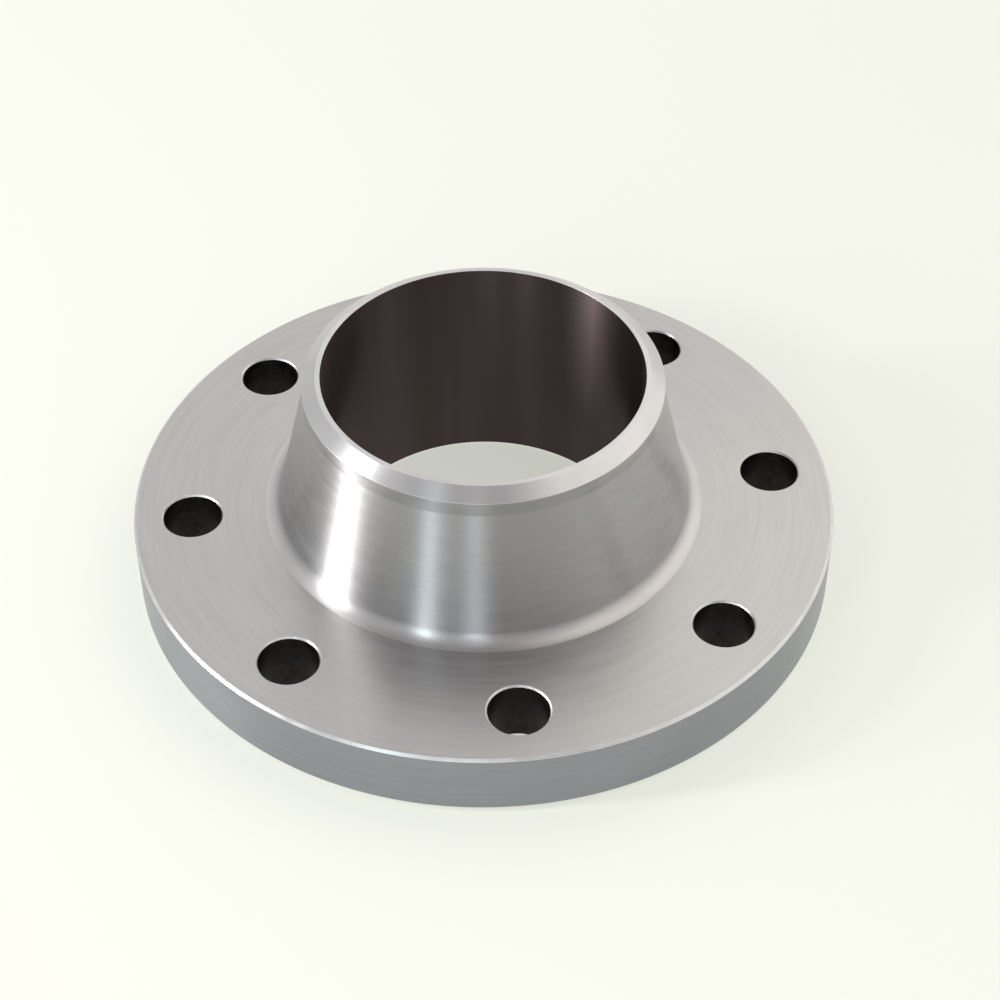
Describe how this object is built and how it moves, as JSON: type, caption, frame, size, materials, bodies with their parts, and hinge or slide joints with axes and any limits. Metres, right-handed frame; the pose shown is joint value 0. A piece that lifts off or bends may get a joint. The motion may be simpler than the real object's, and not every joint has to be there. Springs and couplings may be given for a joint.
{
  "type": "weld neck flange",
  "caption": "Round steel pipe flange with a raised gasket face, a ring of bolt holes, and a tapered hub bevelled at its end for butt welding to a pipe.",
  "frame": {"origin": "centre of the raised gasket face, which is also the underside of the bounding box", "axes": "+Z along the bore axis, from the gasket face towards the weld end; +X and +Y are centre lines that the bolt holes straddle"},
  "size_m": [0.2286, 0.2286, 0.0762],
  "materials": {
    "machined_steel": "turned and drilled stainless steel, matte on the faces and semi-bright on the hub"
  },
  "bodies": {
    "root": {"weld_neck_flange": "machined_steel"}
  },
  "joints": []
}
